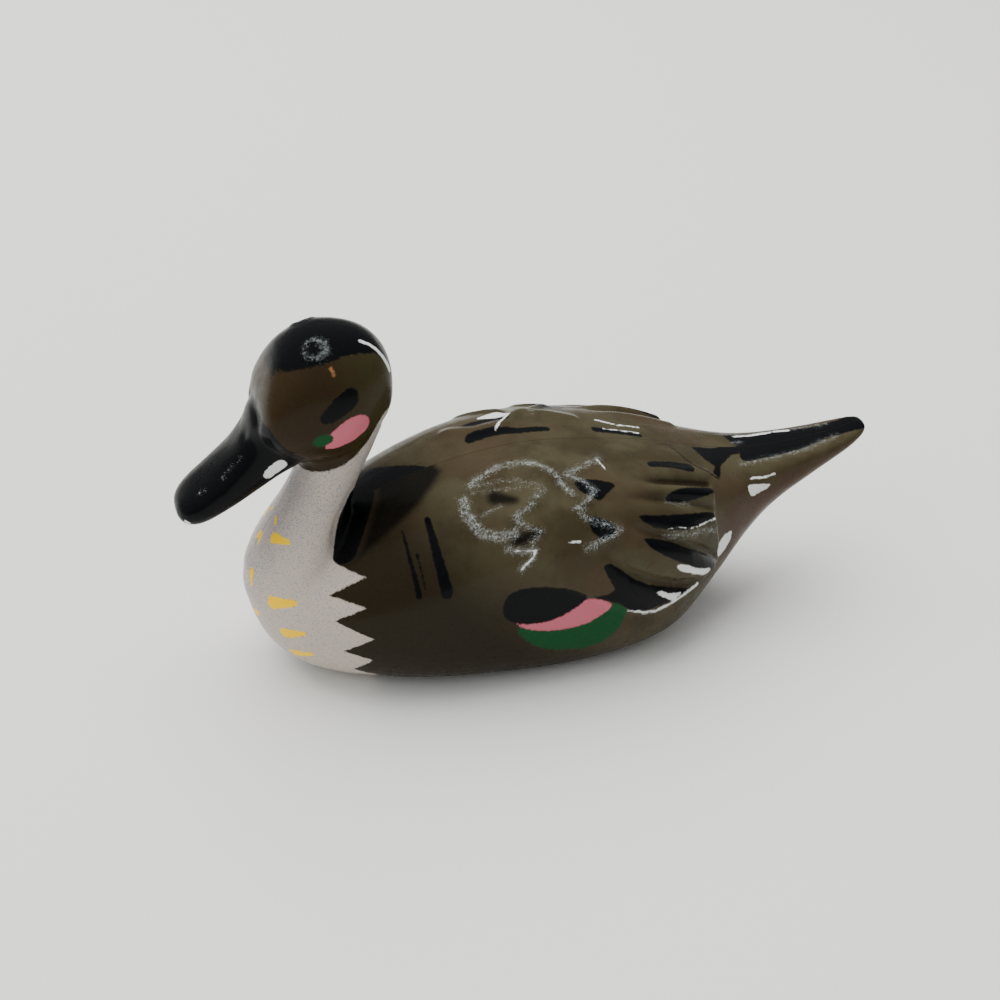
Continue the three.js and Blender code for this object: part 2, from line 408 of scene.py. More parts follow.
WALL = 1.6
FLOOR_WALL = 2.0
TAIL_SOLID_X = -41
VOXEL = 0.4  # the finest feather edge is about this wide
HOLLOW_VOXEL = 0.9
duck = join("duck", trunk("outside", 0) + [skin("outside_bill", BILL, lay_bill)])
melt(duck, VOXEL, 14)
hollow = join("hollow", trunk("inside", WALL))
melt(hollow, HOLLOW_VOXEL, 3)
carve(hollow, block(200, 100, 40, 0, 0, FLOOR_WALL - 20), "DIFFERENCE")
carve(hollow, block(100, 100, 100, TAIL_SOLID_X - 50, 0, 30), "DIFFERENCE")
print("duck:", len(duck.data.vertices), "points; hollow:", len(hollow.data.vertices))

# %% [markdown]
# ## Distances along the surface
# Feathers and paint both follow lines drawn on the duck. The flank is nearly a slope of forty-five
# degrees between side and back, so a flat chart of it serves well: one axis is the length, the other is
# height less breadth. Head, neck and bill are charted from the side, and small marks are measured
# straight through space.


# %% Charts and distances
def points_of(piece):
    """A piece's points in millimetres."""
    flat = np.empty(len(piece.data.vertices) * 3)
    piece.data.vertices.foreach_get("co", flat)
    return flat.reshape(-1, 3) / MM


def flank_chart(points):
    """Length, and how far up the slope of the flank."""
    return np.column_stack([points[:, 0], (points[:, 2] - abs(points[:, 1])) / math.sqrt(2)])


def side_chart(points):
    return points[:, [0, 2]]


def round_chart(points):
    """All three directions, with the right side folded on to the left."""
    return np.column_stack([points[:, 0], abs(points[:, 1]), points[:, 2]])


def line_distance(chart, line):
    """Distance to a line of several points, and how far along it the nearest place is, from 0 to 1."""
    line = np.array(line, float)
    best = np.full(len(chart), np.inf)
    along = np.zeros(len(chart))
    lengths = np.linalg.norm(np.diff(line, axis=0), axis=1)
    start_of = np.concatenate([[0], np.cumsum(lengths)]) / lengths.sum()
    for number, (a, b) in enumerate(zip(line[:-1], line[1:])):
        t = np.clip((chart - a) @ (b - a) / lengths[number] ** 2, 0, 1)
        gap = np.linalg.norm(chart - a - t[:, None] * (b - a), axis=1)
        nearer = gap < best
        best[nearer] = gap[nearer]
        along[nearer] = (start_of[number] + t * (start_of[number + 1] - start_of[number]))[nearer]
    return best, along


def stroke(chart, line, start, end=None):
    """How deep a place lies inside a brush stroke of the given half widths. Outside is negative."""
    gap, along = line_distance(chart, line)
    end = start if end is None else end
    return start + (end - start) * along - gap


def patch(chart, outline):
    """How deep a place lies inside a closed outline. Outside is negative."""
    gap, _ = line_distance(chart, list(outline) + [outline[0]])
    inside = np.zeros(len(chart), bool)
    for (ax, ay), (bx, by) in zip(outline, list(outline[1:]) + [outline[0]]):
        crosses = (ay > chart[:, 1]) != (by > chart[:, 1])
        rise = by - ay if by != ay else 1
        inside ^= crosses & (chart[:, 0] < (bx - ax) * (chart[:, 1] - ay) / rise + ax)
    return np.where(inside, gap, -gap)


def rounded(outline):
    """An outline with its corners cut, as a brush rounds them."""
    for _ in range(2):
        pairs = list(zip(outline, list(outline[1:]) + [outline[0]]))
        outline = [
            (a[0] + (b[0] - a[0]) * share, a[1] + (b[1] - a[1]) * share)
            for a, b in pairs for share in (0.2, 0.8)
        ]
    return outline


def ramp(value, start, end):
    """A smooth step from 0 to 1."""
    t = np.clip((value - start) / (end - start), 0, 1)
    return t * t * (3 - 2 * t)


# %% [markdown]
# ## Feathers in relief
# The mould has the folded wing as a low step, and long quills behind it, each lapping the next. They
# could be cut with a sculpting brush. Here every point is moved along its own normal by an amount that
# comes from its distance to a few drawn lines, so both sides match.

# %% Lines of the relief, on the flank chart, in millimetres
WING = [
    (14, 19.5), (17.5, 14), (16, 8), (12, 3), (5, -0.5), (-2, -3.3), (-5.6, -5), (-9, -6.5), (-13.5, -7),
    (-17, -6), (-20, -4.7), (-24.5, -2.2), (-27.7, 0.4), (-27.2, 3), (-26.2, 7), (-27, 11.5), (-28, 15),
    (-24, 18.5), (-12, 20.5), (2, 21),
]
QUILLS = [
    [(-1, 4.4), (-5, 2.8), (-9, -0.3), (-13.5, -2), (-18, -2.9), (-25, -2.6)],
    [(-6, 8.6), (-11, 5.7), (-16, 3.9), (-21.5, 2.3), (-27.3, 0.9)],
    [(-8, 11.3), (-16, 10.2), (-26, 8.2)],
    [(-11, 14.3), (-18, 13.3), (-26.5, 12.2)],
]
SCALLOPS = [
    [(-8, 19), (-1, 16.6), (-5, 12.6), (-0.8, 10.3), (-7.5, 6), (-1.8, 4)],
    [(14, 17.8), (9.5, 20.2), (4, 20), (0.5, 16.5)],
    [(3.8, 14.4), (9.6, 10.4), (5.6, 7.7), (7.4, 6)],
]
NECK_CREASE = [(30, 4.5, 35.5), (32.6, 4.8, 32.4), (35, 6.6, 29), (37.2, 10, 23.6)]

# %% Heights and widths of the relief, in millimetres
WING_STEP = 0.7
QUILL_GROOVE = {"depth": 0.95, "width": 0.75, "starts": 0.45}
QUILL_RIB = {"share": 0.4, "offset": 2.2, "width": 1.2}  # each quill swells beside its groove
SCALLOP = {"lift": 0.45, "width": 1.1}
CREASE = {"depth": 1.5, "width": 1.3}
BACK_SWELL = {"lift": 0.2, "offset": 9, "width": 4}
EYE = np.array([37.4, 5.0, 59.8])
EYE_RING = {"lift": 0.22, "radius": 1.6, "width": 0.45}
CHEEK_RIM = (np.array([46.6, 6.2, 47.4]), 1.6, 0.5)  # centre, radius and height
NOSTRIL = (np.array([49.6, 2.6, 45.6]), 1.1, -0.35)
FULL_CHEEK = (np.array([33.0, 9.8, 49.0]), 4.5, 0.3)


def swell(gap, width):
    """A smooth hump: one in the middle, and nothing a few widths away."""
    return np.exp(-(gap / width) ** 2)


def wing_relief(points):
    """The folded wing, its quills and its scallops."""
    flank = flank_chart(points)
    above_keel = ramp(points[:, 2] + abs(points[:, 1]), 21, 24) * (1 - ramp(points[:, 0], 18, 26))
    wing = patch(flank, WING)
    lift = WING_STEP * ramp(wing, -0.4, 0.9) * ramp(-points[:, 0], -16, 14) * (1 - ramp(flank[:, 1], 8, 15))
    for quill in QUILLS:
        gap, along = line_distance(flank, quill)
        depth = QUILL_GROOVE["depth"] * ramp(along, 0, QUILL_GROOVE["starts"]) * ramp(wing, -0.2, 1)
        lift -= depth * swell(gap, QUILL_GROOVE["width"])
        lift += QUILL_RIB["share"] * depth * swell(gap - QUILL_RIB["offset"], QUILL_RIB["width"])
    for scallop in SCALLOPS:
        lift += SCALLOP["lift"] * swell(line_distance(flank, scallop)[0], SCALLOP["width"])
    return lift * above_keel


def back_window(points):
    """One over the top of the back, and nothing elsewhere."""
    return ramp(points[:, 2], 28, 32) * ramp(-points[:, 0], -20, -8) * ramp(points[:, 0], -26, -10)


def relief(points):
    """How far each point moves outwards, in millimetres."""
    lift = wing_relief(points)
    space = round_chart(points)
    gap, along = line_distance(space, NECK_CREASE)
    lift -= CREASE["depth"] * ramp(along, 0, 0.3) * (1 - ramp(along, 0.6, 1)) * swell(gap, CREASE["width"])
    beside = swell(space[:, 1] - BACK_SWELL["offset"], BACK_SWELL["width"])
    lift += BACK_SWELL["lift"] * beside * back_window(points)
    for centre, radius, height in (CHEEK_RIM, NOSTRIL, FULL_CHEEK):
        lift += height * swell(np.linalg.norm(space - centre, axis=1), radius)
    from_eye = np.linalg.norm(space - EYE, axis=1)
    return lift + EYE_RING["lift"] * swell(from_eye - EYE_RING["radius"], EYE_RING["width"])


# %% Press the relief into the duck, and cut its flat base
def shape_with(piece, amounts):
    """Move each point along its normal."""
    normals = np.empty(len(piece.data.vertices) * 3)
    piece.data.vertices.foreach_get("normal", normals)
    moved = points_of(piece) + normals.reshape(-1, 3) * amounts[:, None]
    piece.data.vertices.foreach_set("co", (moved * MM).ravel())
    piece.data.update()


shape_with(duck, relief(points_of(duck)))
finish_with(duck, "SMOOTH", factor=0.5, iterations=1)
carve(duck, block(200, 100, 40, 0, 0, -20), "DIFFERENCE")
print("with its feathers the duck measures", [round(side / MM, 1) for side in duck.dimensions])

# %% [markdown]
# ## From a solid to two shells
# The moulded shell has bosses for locating pegs, a line pocket under the breast, and seats for the
# ballast. They are cut out of the hollow before the hollow is cut out of the duck, so nothing can poke
# through the outside. Booleans do all of it: the parts are closed solids, and clean cuts are what a mould
# gives.

# %% Sizes of the fittings, as in the CAD
SEAM_GAP = 0.01  # cemented shut
SEAM_LINE = 0.06  # half width of the dark joint line
FIT = 0.15
PEG = {"radius": 1.2, "reach": 3, "boss": 2.6, "boss_depth": 4.6}
PEG_PLACES = [(47, 14), (35, 57.4), (2, 31.4), (-26, 7.2), (-46, 24)]
pin_low, pin_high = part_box("line_pin")
bar_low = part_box("ballast_bar")[0]
screw_boxes = [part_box("ballast_screw_front"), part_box("ballast_screw_rear")]
PIN_X = (pin_low.x + pin_high.x) / 2 / MM
PIN_Z = (pin_low.z + pin_high.z) / 2 / MM
PIN_RADIUS = (pin_high.x - pin_low.x) / 2 / MM
pin_seat = pin_high.y / MM + FIT
POCKET = {"length": 13, "width": 7, "depth": 7, "cheek": 2.6}
SCREW_BOSS = 3.0  # radius
SCREW_HOLE = 1.0  # radius
SMOOTH_UNDER = math.radians(50)  # sharper corners stay crisp
print("line pin of radius", round(PIN_RADIUS, 2), "mm at", round(PIN_X, 1), round(PIN_Z, 1))


# %% Hollow with its bosses, cut out of the duck
def fittings():
    """Every solid that stands in the hollow."""
    made = [rod(PEG["boss"], -PEG["boss_depth"], PEG["boss_depth"], x, z) for x, z in PEG_PLACES]
    for lowest, highest in screw_boxes:
        middle = (lowest + highest) / 2 / MM
        made.append(rod(SCREW_BOSS, -25, bar_low.y / MM - FIT, middle.x, middle.z))
    tall = POCKET["depth"] + WALL
    wide = POCKET["width"] + 2 * POCKET["cheek"]
    made.append(block(POCKET["length"] + 2 * WALL, wide, tall, PIN_X, 0, tall / 2))
    return made


for fitting in fittings():
    carve(hollow, fitting, "DIFFERENCE")
outside = BVHTree.FromObject(duck, bpy.context.evaluated_depsgraph_get())
carve(duck, hollow, "DIFFERENCE")
pocket = block(POCKET["length"], POCKET["width"], 2 * POCKET["depth"], PIN_X, 0, 0, soft=0.6)
carve(duck, pocket, "DIFFERENCE")
carve(duck, rod(PIN_RADIUS + FIT, -pin_seat, pin_seat, PIN_X, PIN_Z), "DIFFERENCE")
print("shell before it is split:", len(duck.data.polygons), "faces")


# %% The two halves
def half(name, side):
    """Keep one side of the duck. A side is 1 for the left and -1 for the right."""
    piece = duplicate(duck, name)
    carve(piece, block(160, 60, 100, 0, side * (30 + SEAM_GAP / 2), 40), "INTERSECT")
    return piece


left = half("left_half_shell", 1)
right = half("right_half_shell", -1)
for x, z in PEG_PLACES:
    carve(left, rod(PEG["radius"] + FIT, -1, PEG["reach"] + 2 * FIT, x, z), "DIFFERENCE")
    carve(right, rod(PEG["radius"], -PEG["reach"], PEG["reach"], x, z), "UNION")
for lowest, highest in screw_boxes:
    middle = (lowest + highest) / 2 / MM
    carve(right, rod(SCREW_HOLE + FIT, lowest.y / MM - FIT, 0, middle.x, middle.z), "DIFFERENCE")
bpy.data.objects.remove(duck)
for piece in (left, right):
    only(piece)
    bpy.ops.object.shade_smooth_by_angle(angle=SMOOTH_UNDER)
    print(piece.name, len(piece.data.polygons), "faces")

# %% [markdown]
# ## Paint, coat by coat
# The maker paints with a brush over an olive ground, one colour on another. An image wrapped on the shell
# would do, but marks given as distances stay sharp at any zoom. So each colour gets a layer of numbers,
# one to a point of the shell: how deep that point lies inside the colour's marks. A later mark pushes the
# earlier colours out from under it, as paint covers paint.

# %% Marks on the flank: colour, sides, half widths, and a line on the flank chart
BOTH, NEAR, FAR_SIDE = "both", "left", "right"
FLANK_STROKES = [
    ("black", BOTH, 0.15, 0.45, [(26.3, 12.5), (26.1, 7), (25.6, 1.5)]),
    ("black", BOTH, 0.2, 0.1, [(24.9, 8), (24.6, 2.5)]),
    ("mantle", NEAR, 2.0, 1.4, [(11.2, 14.6), (8.4, 13.6)]),
    ("mantle", NEAR, 1.8, 1.4, [(9.4, 6.8), (6, 7.6)]),
    ("black", BOTH, 0.45, 0.95, [(22.2, 13.4), (22, 7), (21.3, 1.2)]),
    ("black", NEAR, 0.6, 0.9, [(-16.8, 16.9), (-20.5, 16.5), (-23.9, 15.6)]),
    ("white", NEAR, 0.2, 0.1, [(-7.6, 18.7), (-8.5, 16.6)]),
    ("black", FAR_SIDE, 0.5, 0.7, [(10.5, 18), (5.5, 18.6), (3.5, 19)]),
    ("black", FAR_SIDE, 0.75, 0.55, [(11, 21.5), (6.5, 21.6), (2.4, 22.2), (-2.4, 22.1)]),
    ("black", FAR_SIDE, 0.6, 0.5, [(-10.9, 21.6), (-18.4, 21.7)]),
    ("white", FAR_SIDE, 0.12, 0.16, [(-12.5, 21.2), (-18.6, 21.1)]),
    ("white", FAR_SIDE, 0.2, 0.3, [(-37.2, 16.6), (-44.2, 16.6)]),
    ("white", BOTH, 0.22, 0.16, [(-35.6, 12.8), (-38, 12.7), (-40.6, 13.1)]),
    ("white", FAR_SIDE, 0.35, 0.25, [(-45, 16.6), (-47.5, 17.2)]),
    # This white dash on the flank is a painted highlight, a glint of the gloss.
    ("white", BOTH, 0.14, 0.2, [(1.2, 5.4), (-0.6, 5.1)]),
    ("white", BOTH, 0.05, 0.12, [(10.6, 5.8), (10, 5.4), (6.8, 4.9)]),
    ("white", BOTH, 0.14, 0.14, [(6.8, 4.9), (7.3, 4), (9.3, 2.5)]),
    ("white", FAR_SIDE, 0.28, 0.14, [(2.6, 18.2), (6.2, 21.4)]),
    ("white", FAR_SIDE, 0.2, 0.12, [(-12, 19), (-15.4, 19.8), (-19.5, 19.4)]),
    ("white", BOTH, 0.1, 0.24, [(-8.6, -6), (-10, -6.3), (-12, -6.7), (-14, -6.7), (-16.5, -6),
        (-20, -4.6), (-23, -3.2)]),
    ("white", BOTH, 0.02, 0.16, [(-16, 5.1), (-18, 5.2), (-20.4, 4.8), (-23, 5.4), (-26, 6.2)]),
]
FLANK_PATCHES = [
    ("mantle", NEAR, [(16.5, 28), (17.5, 23.2), (16.4, 21.7), (23, 15), (30, 10.8), (34, 8.5),
        (37.5, 8), (41, 28)]),
    ("black", NEAR, [(27, 28), (28.5, 20), (31.5, 14.5), (33.4, 11), (34.4, 9.5), (37.5, 9.2),
        (41, 28)]),
    ("black", FAR_SIDE, [(18.9, 28), (18.9, 23.2), (24.4, 19), (28.7, 14.5), (34, 9.5), (37.5, 9.2),
        (41, 28)]),
    ("green", BOTH, [(10, -5.6), (10, -6.6), (7.5, -8.6), (4, -9.8), (-1, -10.3), (-5, -10),
        (-7.8, -8.2), (-8.8, -6), (-7.5, -4.6), (0, -5)]),
    ("pink", BOTH, [(10.4, -4.8), (10, -5.6), (7, -6.6), (4, -7.1), (0, -7.1), (-3, -6.5),
        (-6.2, -5), (-5, -4.2), (-2, -3.2), (1, -4)]),
    ("black", BOTH, [(12.7, -3), (12, -1), (9.8, -0.2), (5.6, -0.5), (1.4, -1.5), (-2.2, -3.1),
        (0.4, -4.5), (3.1, -5.4), (6.5, -5.8), (9.8, -5.4), (11.9, -4.3)]),
    ("black", BOTH, [(-4.1, 1), (-5.4, 1.3), (-8.4, -0.6), (-10, -1.8), (-13.5, -3), (-21.5, -4),
        (-19.2, -5), (-15, -6), (-11.5, -6.5), (-9, -6.1), (-6.4, -4.6), (-2, -3.2), (-5, -3.3),
        (-6.4, -2.8), (-5, -1)]),
    ("black", BOTH, [(-11.3, 4.4), (-15.9, 3.5), (-20, 2), (-27.3, 0.2), (-25.3, -1.4),
        (-21.4, -1.3), (-17.6, 0), (-14, 1.5), (-12, 3)]),
    ("black", BOTH, [(-11, 7.9), (-15.2, 7.3), (-20.4, 7.1), (-26, 7.4), (-26.1, 6), (-23.2, 5.2),
        (-20, 4.6), (-16, 5), (-13.7, 5.6), (-11.7, 6.8)]),
    ("black", BOTH, [(-17.2, 10.8), (-19.8, 11.7), (-26.9, 11.5), (-26.5, 10.3), (-21.7, 9.4),
        (-17.1, 9.5)]),
    ("white", BOTH, [(-17, -0.4), (-19.4, -0.6), (-21.8, -1.4), (-25.3, -1.2), (-24.1, -2.2),
        (-20.6, -1.9), (-18, -1.4)]),
    ("white", BOTH, [(-13.4, -4.1), (-14.8, -3.8), (-16.3, -4.5), (-19.4, -4.4), (-17, -5.6),
        (-15.2, -5)]),
    ("white", BOTH, [(-31, 4.8), (-28.8, 4), (-27.4, 2.4), (-27.7, 0.6), (-29.2, 1.7), (-30.8, 3.4)]),
    ("white", FAR_SIDE, [(8.7, 16.6), (4, 15.4), (2.2, 18.2), (5, 18.4)]),
    ("white", BOTH, [(-34.3, 11.6), (-37, 11.7), (-40.2, 11.5), (-37.5, 10.5), (-35.2, 9.6)]),
    ("black", BOTH, [(-35, 15.9), (-40.7, 16.3), (-46.7, 16.8), (-54.4, 18.6), (-64, 19), (-64, 30),
        (-36.5, 30), (-36.5, 20)]),
    ("black", BOTH, [(-1.6, 15.2), (-5, 15.4), (-9.4, 13.9), (-6.8, 12.2), (-5.2, 11), (-3, 12.6)]),
    ("black", BOTH, [(-2.6, 9.2), (-7, 6.8), (-6.2, 5), (-4.2, 4.8), (-2.6, 6.6)]),
]

# %% Dry brushed silver on the high feather edges
SILVER_STROKES = [
    (NEAR, 0.75, [(14.5, 17.7), (12.3, 18.8), (9.3, 20.2), (6.2, 20.3), (3.1, 19.7), (1, 17.8),
        (0.2, 15.3), (-1.1, 13.2)]),
    (NEAR, 1.1, [(16, 15.2), (16.3, 13), (15.6, 10.8), (14.5, 9), (12.3, 8), (9.8, 8.1)]),
    (NEAR, 0.35, [(14, 17.4), (9.7, 17.5), (6.4, 16.8), (3.6, 15.3)]),
    (NEAR, 0.25, [(14.4, 16.4), (9.2, 15.8), (5.7, 15.7), (3.9, 14.6)]),
    (BOTH, 0.65, [(3.7, 14.4), (6.3, 12.1), (9.4, 10.5), (7.6, 8.6), (5.6, 7.7), (7.2, 6.2)]),
    (BOTH, 0.3, [(14.1, 11.9), (10.9, 13)]),
    (BOTH, 0.8, [(11, 6), (10, 5.5), (7, 4.9), (7.3, 4), (9.3, 2.6)]),
    (NEAR, 0.7, [(-8, 19), (-4.5, 17.8), (-0.9, 16.6), (-3.5, 15.1), (-5, 13), (-2, 10.7),
        (-0.8, 10.2)]),
    (BOTH, 0.7, [(-0.8, 10.2), (-2.1, 8.7), (-4.2, 7.6), (-7.6, 6), (-6.1, 5.2), (-3.7, 4.5),
        (-1.6, 3.9)]),
    (BOTH, 0.45, [(-17, 9.7), (-19, 9.2), (-21, 8.9)]),
    (BOTH, 0.55, [(-15.6, 4.2), (-20, 4), (-25.7, 4.6)]),
    (FAR_SIDE, 0.4, [(-0.4, 15.4), (-1.7, 17.6), (-5, 16.6)]),
    (BOTH, 0.5, [(-34.8, 15.6), (-40.7, 16.1), (-46.7, 16.6), (-54, 18.3)]),
    (FAR_SIDE, 0.4, [(-36, 18.6), (-37.5, 18.2)]),
]

# %% Marks on head, neck and bill: seen from the side, or measured through space
WHITE_BREAST = [
    (31.5, -1), (32.4, 4), (36.2, 6), (33.2, 9.2), (37.8, 10.8), (33, 13.8), (38.8, 16.6),
    (33.6, 19.1), (38.9, 20.1), (33, 23.1), (36.6, 23.5), (37.3, 23.8), (35.2, 29), (32.8, 32.2),
    (29, 34.6), (20, 37), (20, 48.5), (27.2, 48.2), (28.2, 47), (30, 43.6), (32.3, 41.1),
    (34.6, 39.7), (37.2, 38.8), (39.2, 38.2), (42, 37.2), (70, 10), (70, -1),
]
HEAD_BROWN = [
    (20, 70), (20, 48.5), (27.2, 48.2), (28.2, 47), (30, 43.6), (32.3, 41.1), (34.6, 39.7),
    (37.2, 38.8), (39.2, 38.2), (42, 37.2), (50, 46), (50, 70),
]
BLACK_CAP = [
    (44, 55.4), (43.2, 56.4), (42.3, 57), (40.6, 57.5), (38.7, 57.9), (36, 58.3), (33.5, 58.7),
    (30.7, 58.5), (28, 57.6), (26.4, 56), (25.6, 54.4), (22, 54), (22, 66), (44, 66),
]
BLACK_BILL = [
    (46.3, 51), (46.3, 49.6), (45.4, 49.2), (44.8, 47.8), (43.3, 45.7), (41.4, 43.5), (40.2, 42.4),
    (39.6, 39.8), (41, 39), (47.5, 35), (60, 28), (66, 28), (66, 40), (50, 53),
]
HEAD_PATCHES = [
    ("pink", [(37.4, 44.5), (37, 46.4), (36.2, 48), (33.4, 50), (31.2, 50), (30.1, 48.8),
        (30.4, 46.8), (33, 45.2), (35.7, 44.2)]),
    ("green", [(39.4, 46.6), (38.6, 45.2), (37, 45.2), (35.8, 46.2), (36.2, 47.6), (38, 47.6)]),
    ("black", [(38.2, 50.6), (35.6, 53.4), (33.1, 54.8), (31.8, 54.2), (31.6, 52.4), (33.5, 50.8),
        (36.2, 49.4), (37.5, 49.6)]),
]
ROUND_STROKES = [
    ("white", 0.3, 0.5, [(30, 3.7, 59.5), (28.7, 3.6, 58.8), (27.7, 3.7, 57.9), (26.5, 4, 56.3),
        (25.8, 4.2, 54.3)]),
    ("white", 1.1, 1.1, [(45.9, 5.4, 39.9), (44, 6, 41.4)]),
    ("white", 0.4, 0.35, [(59.3, 4.6, 32.4), (59, 5, 32.2)]),
    ("chestnut", 0.3, 0.3, [(35.4, 7.6, 57.5), (35.1, 8.1, 56.7)]),
]
YELLOW_DABS = [
    (0.6, [(45.4, 1.2, 29.2), (45.2, 2.4, 28.0)]),
    (0.7, [(47.6, 0.2, 24.8), (48, 1, 23.6)]),
    (0.95, [(45.8, 4, 26.4), (44, 6.6, 26.9)]),
    (0.8, [(49.9, 3.2, 19.8), (50.2, 4, 18)]),
    (1.15, [(47.5, 9, 17.4), (44.4, 11.6, 18.4)]),
    (0.8, [(50, 4.6, 12.9), (49.6, 5.8, 13.4)]),
    (1.05, [(46.1, 10.7, 12.2), (43.5, 13.2, 13.3)]),
    (0.95, [(44.9, 10, 7.4), (42.4, 13, 8.8)]),
]
SEAM_CRACK = [(-20.7, 21.4), (-22.6, 21.1), (-23.7, 19.4), (-24.3, 17.6), (-25.7, 15.7),
    (-27.7, 14.3), (-29, 13.1)]
CHIP = [
    (-27.2, 20.4), (-31.4, 19.7), (-33.7, 20), (-36.4, 19.6), (-35.7, 17.8), (-34.3, 17.9),
    (-32.4, 16.8), (-30.6, 15.6), (-29.2, 13), (-28.4, 14.5), (-29.5, 15.6), (-28.2, 17.4),
]


# %% Laying on the coats
COLOURS = ("black", "mantle", "breast_white", "head_brown", "green", "pink", "white", "yellow", "chestnut")
OVERLAYS = ("silver", "crack", "tail_brown", "painted_groove_shade")
FAR = -6.0
COVER = 0.1
BODY_FROM = 20.5  # marks on the flank end where height plus half breadth falls below this
RING_HALF_WIDTH = 0.55
RING_THINS = 0.12  # for each millimetre towards the bill


class Coats:
    """The colour layers of one half shell, as numbers per point."""

    def __init__(self, piece):
        self.piece = piece
        self.points = points_of(piece)
        self.layers = {name: np.full(len(self.points), FAR) for name in COLOURS + OVERLAYS}
        self.body = np.where(self.points[:, 2] + abs(self.points[:, 1]) > BODY_FROM, 0, FAR)

    def brush(self, name, depth):
        """Lay a mark on, and push earlier colours out from under it."""
        for other in COLOURS:
            if other != name:
                self.layers[other] = np.minimum(self.layers[other], COVER - depth)
        self.dust(name, depth)

    def dust(self, name, depth):
        """Lay a mark over the colours without covering them."""
        self.layers[name] = np.maximum(self.layers[name], depth)

    def store(self):
        """Write the layers on to the mesh."""
        for name, depth in self.layers.items():
            layer = self.piece.data.attributes.new(name, "FLOAT", "POINT")
            layer.data.foreach_set("value", np.clip(depth, FAR, -FAR).astype(np.float32))


def paint(piece, side):
    """Every mark, in the order in which the painter lays them on."""
    coats = Coats(piece)
    flank = flank_chart(coats.points)
    profile = side_chart(coats.points)
    space = round_chart(coats.points)
    under_rump = 24 + 0.1 * (-coats.points[:, 0] - 40) - coats.points[:, 2]
    coats.dust("tail_brown", np.minimum(under_rump, -coats.points[:, 0] - 30))
    for name, where, outline in FLANK_PATCHES:
        if where in (BOTH, side):
            coats.brush(name, np.minimum(patch(flank, rounded(outline)), coats.body + 3))
    for name, where, start, end, line in FLANK_STROKES:
        if where in (BOTH, side):
            coats.brush(name, np.minimum(stroke(flank, line, start, end), coats.body + 3))
    coats.brush("breast_white", patch(profile, WHITE_BREAST))
    coats.brush("head_brown", patch(profile, HEAD_BROWN))
    coats.brush("black", patch(profile, BLACK_CAP))
    for name, outline in HEAD_PATCHES:
        coats.brush(name, np.minimum(patch(profile, rounded(outline)), space[:, 1] - 4))
    coats.brush("black", patch(profile, BLACK_BILL))
    for name, start, end, line in ROUND_STROKES:
        coats.brush(name, stroke(space, line, start, end))
    for size, line in YELLOW_DABS:
        coats.brush("yellow", stroke(space, line, size, size * 0.45))
    for where, size, line in SILVER_STROKES:
        if where in (BOTH, side):
            coats.dust("silver", np.minimum(stroke(flank, line, size), coats.body + 3))
    eye = np.linalg.norm(space - EYE, axis=1)
    ring = RING_HALF_WIDTH - abs(eye - EYE_RING["radius"]) - RING_THINS * (space[:, 0] - EYE[0])
    coats.dust("silver", np.minimum(ring, eye - 1))
    # The silver along the top of the bill is dry brush and also a painted highlight of the gloss.
    coats.dust("silver", stroke(space, [(53.1, 4.5, 39.2), (51.5, 4.2, 40.7), (49.6, 4.4, 42.6)], 0.3, 0.1))
    coats.dust("silver", stroke(space, [(56.6, 3.6, 36.7), (56, 3.8, 37.2)], 0.25))
    # Painted shade in the feather grooves: each point's groove depth, which the shader turns darker.
    coats.dust("painted_groove_shade", -relief(coats.points))
    if side == NEAR:
        coats.dust("crack", stroke(flank, SEAM_CRACK, 0.13, 0.2))
        coats.brush("black", patch(flank, CHIP))
    coats.store()
    return coats


for piece, side in ((left, NEAR), (right, FAR_SIDE)):
    coats = paint(piece, side)
    print(piece.name, "has", {name: int((layer > 0).sum()) for name, layer in coats.layers.items()})

# %% [markdown]
# ## Lacquer
# The shell is moulded plastic under brushed enamel, with a clear gloss over all. Gloss comes from a coat
# on the shader; the enamel under it has a satin roughness of its own, faint brush streaks, and edges that
# the bristles leave ragged. Each colour's layer is turned to a mask where it rises above nothing, with a
# little noise added.

# %% Colours of the enamel
ENAMEL = {
    "ground": "#474230",
    "ground_dark": "#383222",
    "ground_warm": "#45392a",
    # painted shade for the lower flank and the front, where less light falls
    "painted_low_shade": "#262015",
    # painted shade in the feather grooves
    "painted_groove_shade": "#1f160d",
    "tail_brown": "#3f2c1c",
    "black": "#08090b",
    "breast_white": "#beb2a5",
    "breast_grey": "#8f8e9b",
    "head_brown": "#2d2315",
    "head_olive": "#37331f",
    "mantle": "#0d0b08",
    "green": "#0b4522",
    "pink": "#c06675",
    "white": "#e6e8e6",
    "yellow": "#ffcc00",
    "chestnut": "#9a6a44",
    "silver": "#c4cccd",
    "crack": "#1c100b",
}

# %% Patterns and edges of the enamel, in millimetres
BRISTLE_MM = 0.35  # width of one bristle's streak
SPECK_MM = 0.11  # overspray drop
PATTERNS = {  # size, detail and roughness
    "cloud": (9, 4, 0.55),
    "warmth": (14, 2, 0.55),
    "bristles": (BRISTLE_MM * 2, 3, 0.55),
    "overspray": (SPECK_MM * 2, 2, 0.7),
    "specks": (SPECK_MM, 2, 0.7),
    "satin": (2.2, 3, 0.55),
    "orange_peel": (1.6, 3, 0.55),
}
EDGES = {"black": 0.16, "green": 0.3, "pink": 0.14, "chestnut": 0.2, "white": 0.1, "yellow": 0.16}
HEAD_EDGE = 0.2
BREAST_EDGE = 0.12
FRAY = 0.5  # how far the bristles make an edge wander
SHADE_STARTS = 19  # painted shade: the ground darkens as height less length falls from here to the next value
FULL_SHADE_BELOW = -3
OLIVE_FROM = 38  # the head turns from brown to olive between these places along the duck
OLIVE_BEHIND = 26
GREY_HALF_WIDTH = 11  # overspray gathers on the middle of the breast
GREY_GAIN = 0.08
